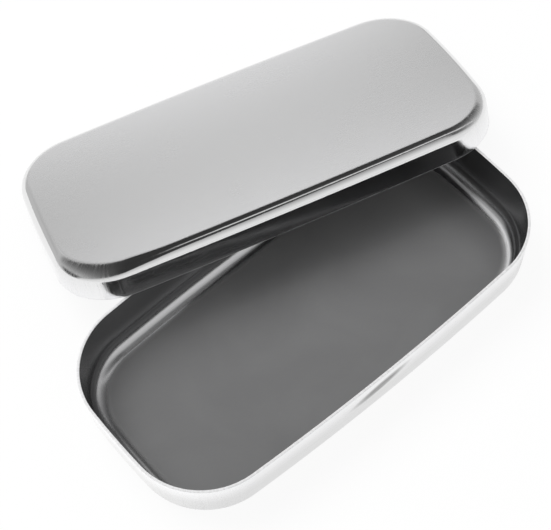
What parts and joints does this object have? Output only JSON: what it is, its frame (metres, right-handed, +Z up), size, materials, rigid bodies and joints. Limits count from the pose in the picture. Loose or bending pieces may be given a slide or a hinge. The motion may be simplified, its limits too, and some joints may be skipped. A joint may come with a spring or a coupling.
{
  "type": "bur holder box",
  "caption": "Shallow drawn-steel box for dental burs: a rounded tray with bowed sides, and a loose lid that fits over its rim and here leans on it.",
  "frame": {"origin": "middle of the tray's base, on the surface that the box stands on", "axes": "+X along the tray's length, +Y towards the long side where the lid leans, +Z up"},
  "size_m": [0.1042, 0.0844, 0.0184],
  "materials": {
    "tray_steel": "mirror-polished outside, satin inside, bright rim",
    "lid_steel": "brushed satin top, polished skirt, bright cut edge"
  },
  "bodies": {
    "tray": {"tray": "tray_steel"},
    "lid": {"lid": "lid_steel"}
  },
  "joints": [
    {"name": "lid_lift", "type": "slide", "parent": "tray", "child": "lid", "axis": [0, 0, 1], "range_m": [0, 0.06]}
  ]
}
